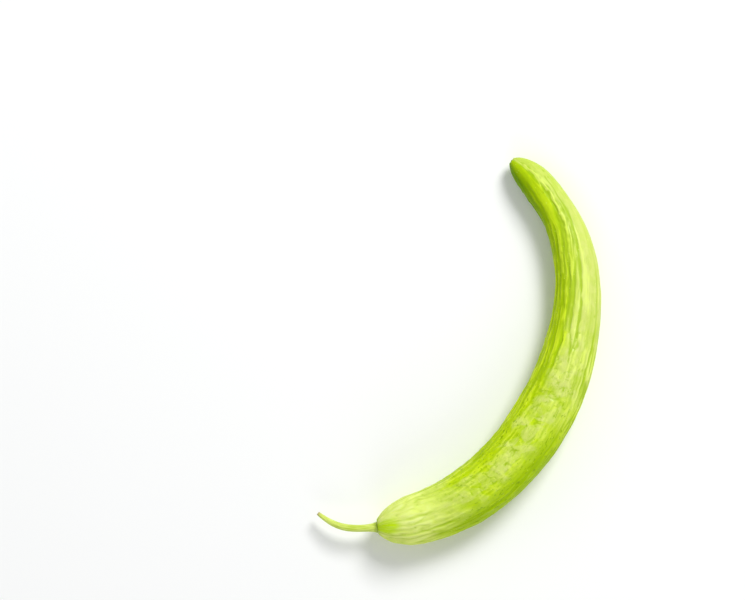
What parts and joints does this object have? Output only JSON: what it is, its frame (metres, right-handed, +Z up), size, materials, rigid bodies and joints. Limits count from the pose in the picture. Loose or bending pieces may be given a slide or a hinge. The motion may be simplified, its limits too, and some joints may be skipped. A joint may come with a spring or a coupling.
{
  "type": "cucumber",
  "caption": "Long snake cucumber as picked, bent like a C, with a furrowed yellow-green skin and a thin curved stem, lying on its side.",
  "frame": {"origin": "on the surface that the cucumber lies on, under the middle of its bounding box", "axes": "+Y along the longest extent, from the stem end's side to the blossom end's side; +X away from the stem; +Z up, along the shortest extent; the fruit's bend lies in the XY plane and opens towards -X"},
  "size_m": [0.1914, 0.2608, 0.0397],
  "materials": {
    "skin": "waxy satin, pale yellow-green with darker green furrows",
    "stalk": "satin, fibrous green"
  },
  "bodies": {
    "root": {"fruit": "skin", "stem": "stalk"}
  },
  "joints": []
}
